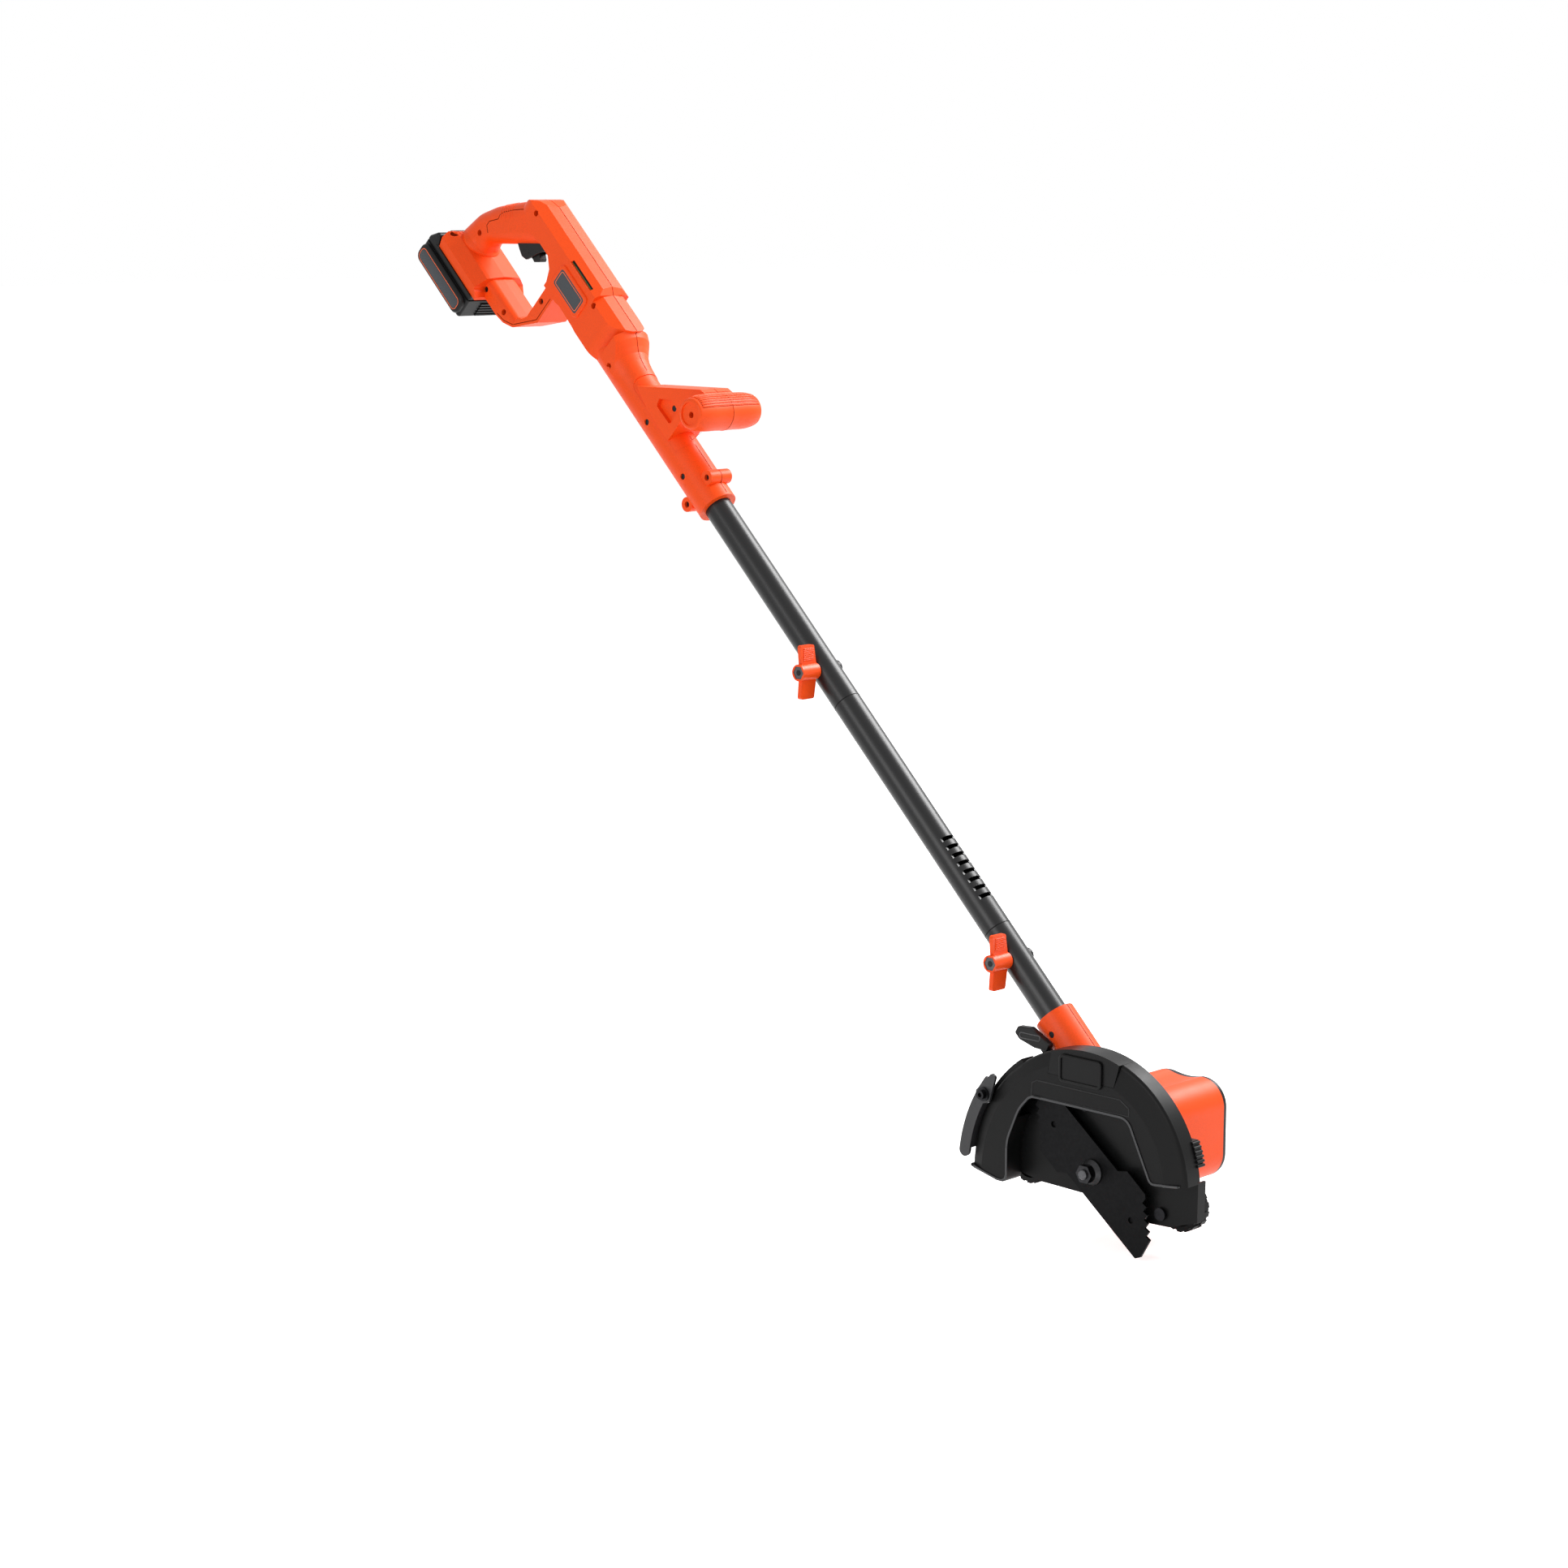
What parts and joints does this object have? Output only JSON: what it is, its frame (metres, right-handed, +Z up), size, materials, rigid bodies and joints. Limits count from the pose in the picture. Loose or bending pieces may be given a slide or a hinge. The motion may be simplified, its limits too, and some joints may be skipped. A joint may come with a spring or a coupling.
{
  "type": "cordless lawn edger",
  "caption": "Cordless lawn edger: battery handle with loop grip, angled shaft in clamped sections, front handle, geared motor head, guarded blade and wheels",
  "frame": {"origin": "on the blade spindle's axis, in the middle plane of the blade", "axes": "+X forward in the direction of travel, +Y to the motor side (the open face of the blade looks to -Y), +Z up with the shaft rising backwards at 45 degrees"},
  "size_m": [1.123, 0.1525, 1.005],
  "materials": {
    "orange_shell": "satin, fine grain",
    "black_shell": "satin",
    "guard_black": "fine texture",
    "wheel_black": "fine texture",
    "flap_grey": "satin",
    "fan_plastic": "satin",
    "shaft_paint": "satin",
    "aluminium": "as cast",
    "bright_steel": "polished",
    "dark_steel": "blackened",
    "washer_steel": "satin",
    "blade_steel": "blackened",
    "can_steel": "plated",
    "magnet": "sintered",
    "copper": "enamelled windings",
    "board_green": "gloss",
    "cell_wrap": "shrink wrap",
    "cable_jacket": "matt"
  },
  "bodies": {
    "frame": {"tube_lower": "shaft_paint", "tube_middle": "shaft_paint", "tube_upper": "shaft_paint", "couplers": "aluminium", "clamp_bolts": "dark_steel", "power_cable": "cable_jacket", "bearings": "bright_steel", "motor_can": "can_steel", "motor_magnets": "magnet", "motor_end_bell": "black_shell", "gearbox_plate": "aluminium", "head_shell_near": "orange_shell", "head_shell_far": "orange_shell", "motor_cap": "black_shell", "head_screws": "dark_steel", "guard_hood": "guard_black", "guard_badge_panel": "guard_black", "guard_fasteners": "dark_steel", "handle_shell_near": "orange_shell", "handle_shell_far": "orange_shell", "handle_badge": "orange_shell", "handle_screws": "dark_steel", "handle_wiring": "cable_jacket", "trigger_pin": "bright_steel", "trigger_spring": "bright_steel", "switch_module": "black_shell", "control_board": "board_green", "battery_terminals": "black_shell", "front_handle_near": "orange_shell", "front_handle_far": "orange_shell", "front_handle_screws": "dark_steel"},
    "blade_spindle": {"spindle": "dark_steel", "spindle_gear": "dark_steel", "inner_flange": "dark_steel", "blade": "blade_steel", "outer_flange": "washer_steel", "blade_nut": "dark_steel"},
    "rotor": {"rotor_shaft": "bright_steel", "armature": "copper", "motor_fan": "fan_plastic", "motor_pinion": "dark_steel"},
    "front_wheel": {"wheel_front": "wheel_black"},
    "carriage": {"wheel_carriage": "guard_black", "rear_axle": "dark_steel"},
    "rear_wheel": {"wheel_rear": "wheel_black"},
    "lever": {"depth_lever": "black_shell"},
    "flap": {"rear_flap": "flap_grey"},
    "trigger_lever": {"trigger": "black_shell"},
    "tab": {"lock_off_tab": "orange_shell"},
    "battery": {"pack_case_lower": "black_shell", "pack_case_upper": "black_shell", "pack_cells": "cell_wrap", "pack_board": "board_green", "pack_latch_spring": "bright_steel"},
    "latch": {"pack_latch_button": "orange_shell"},
    "upper_knob": {"knob_upper": "black_shell", "knob_nut_upper": "dark_steel"},
    "lower_knob": {"knob_lower": "black_shell", "knob_nut_lower": "dark_steel"}
  },
  "joints": [
    {"name": "blade_spin", "type": "hinge", "parent": "frame", "child": "blade_spindle", "pos_m": [0, 0, 0], "axis": [0, 1, 0], "continuous": true},
    {"name": "motor_spin", "type": "hinge", "parent": "frame", "child": "rotor", "pos_m": [0.01338, 0.08, 0.02796], "axis": [0, 1, 0], "continuous": true},
    {"name": "front_wheel_spin", "type": "hinge", "parent": "frame", "child": "front_wheel", "pos_m": [0.078, 0.045, -0.028], "axis": [0, 1, 0], "continuous": true},
    {"name": "depth_slide", "type": "slide", "parent": "frame", "child": "carriage", "axis": [0, 0, -1], "range_m": [0, 0.0127]},
    {"name": "rear_wheel_spin", "type": "hinge", "parent": "carriage", "child": "rear_wheel", "pos_m": [-0.112, 0.045, -0.018], "axis": [0, 1, 0], "continuous": true},
    {"name": "depth_lever_turn", "type": "hinge", "parent": "frame", "child": "lever", "pos_m": [-0.058, 0.018, 0.088], "axis": [0, -1, 0], "range_deg": [0, 40]},
    {"name": "flap_swing", "type": "hinge", "parent": "frame", "child": "flap", "pos_m": [-0.128, -0.014, 0.057], "axis": [0, 1, 0], "range_deg": [0, 45]},
    {"name": "trigger_pull", "type": "hinge", "parent": "frame", "child": "trigger_lever", "pos_m": [-0.822, 0.0426, 0.886], "axis": [0, 1, 0], "range_deg": [0, 12], "stiffness_Nm_per_rad": 0.15, "springref_deg": -11.46, "deforming": ["trigger_spring"]},
    {"name": "lock_off_push", "type": "hinge", "parent": "trigger_lever", "child": "tab", "pos_m": [-0.8485, 0.0426, 0.872], "axis": [0, -1, 0], "range_deg": [0, 25], "stiffness_Nm_per_rad": 0.02, "springref_deg": -17.19},
    {"name": "battery_slide", "type": "slide", "parent": "frame", "child": "battery", "axis": [-0.7071, 0, 0.7071], "range_m": [0, 0.085]},
    {"name": "latch_press", "type": "slide", "parent": "battery", "child": "latch", "axis": [0.7071, 0, -0.7071], "range_m": [0, 0.0025], "stiffness_N_per_m": 800, "springref_m": -0.002, "deforming": ["pack_latch_spring"]},
    {"name": "upper_knob_turn", "type": "hinge", "parent": "frame", "child": "upper_knob", "pos_m": [-0.40232, 0.0146, 0.44972], "axis": [0, 1, 0], "continuous": true},
    {"name": "lower_knob_turn", "type": "hinge", "parent": "frame", "child": "lower_knob", "pos_m": [-0.13715, 0.0146, 0.18455], "axis": [0, 1, 0], "continuous": true}
  ],
  "couplings": [
    {"joint": "motor_spin", "follows": "blade_spin", "ratio": -3.7692},
    {"joint": "depth_lever_turn", "follows": "depth_slide", "rad_per_m": 54.97}
  ]
}
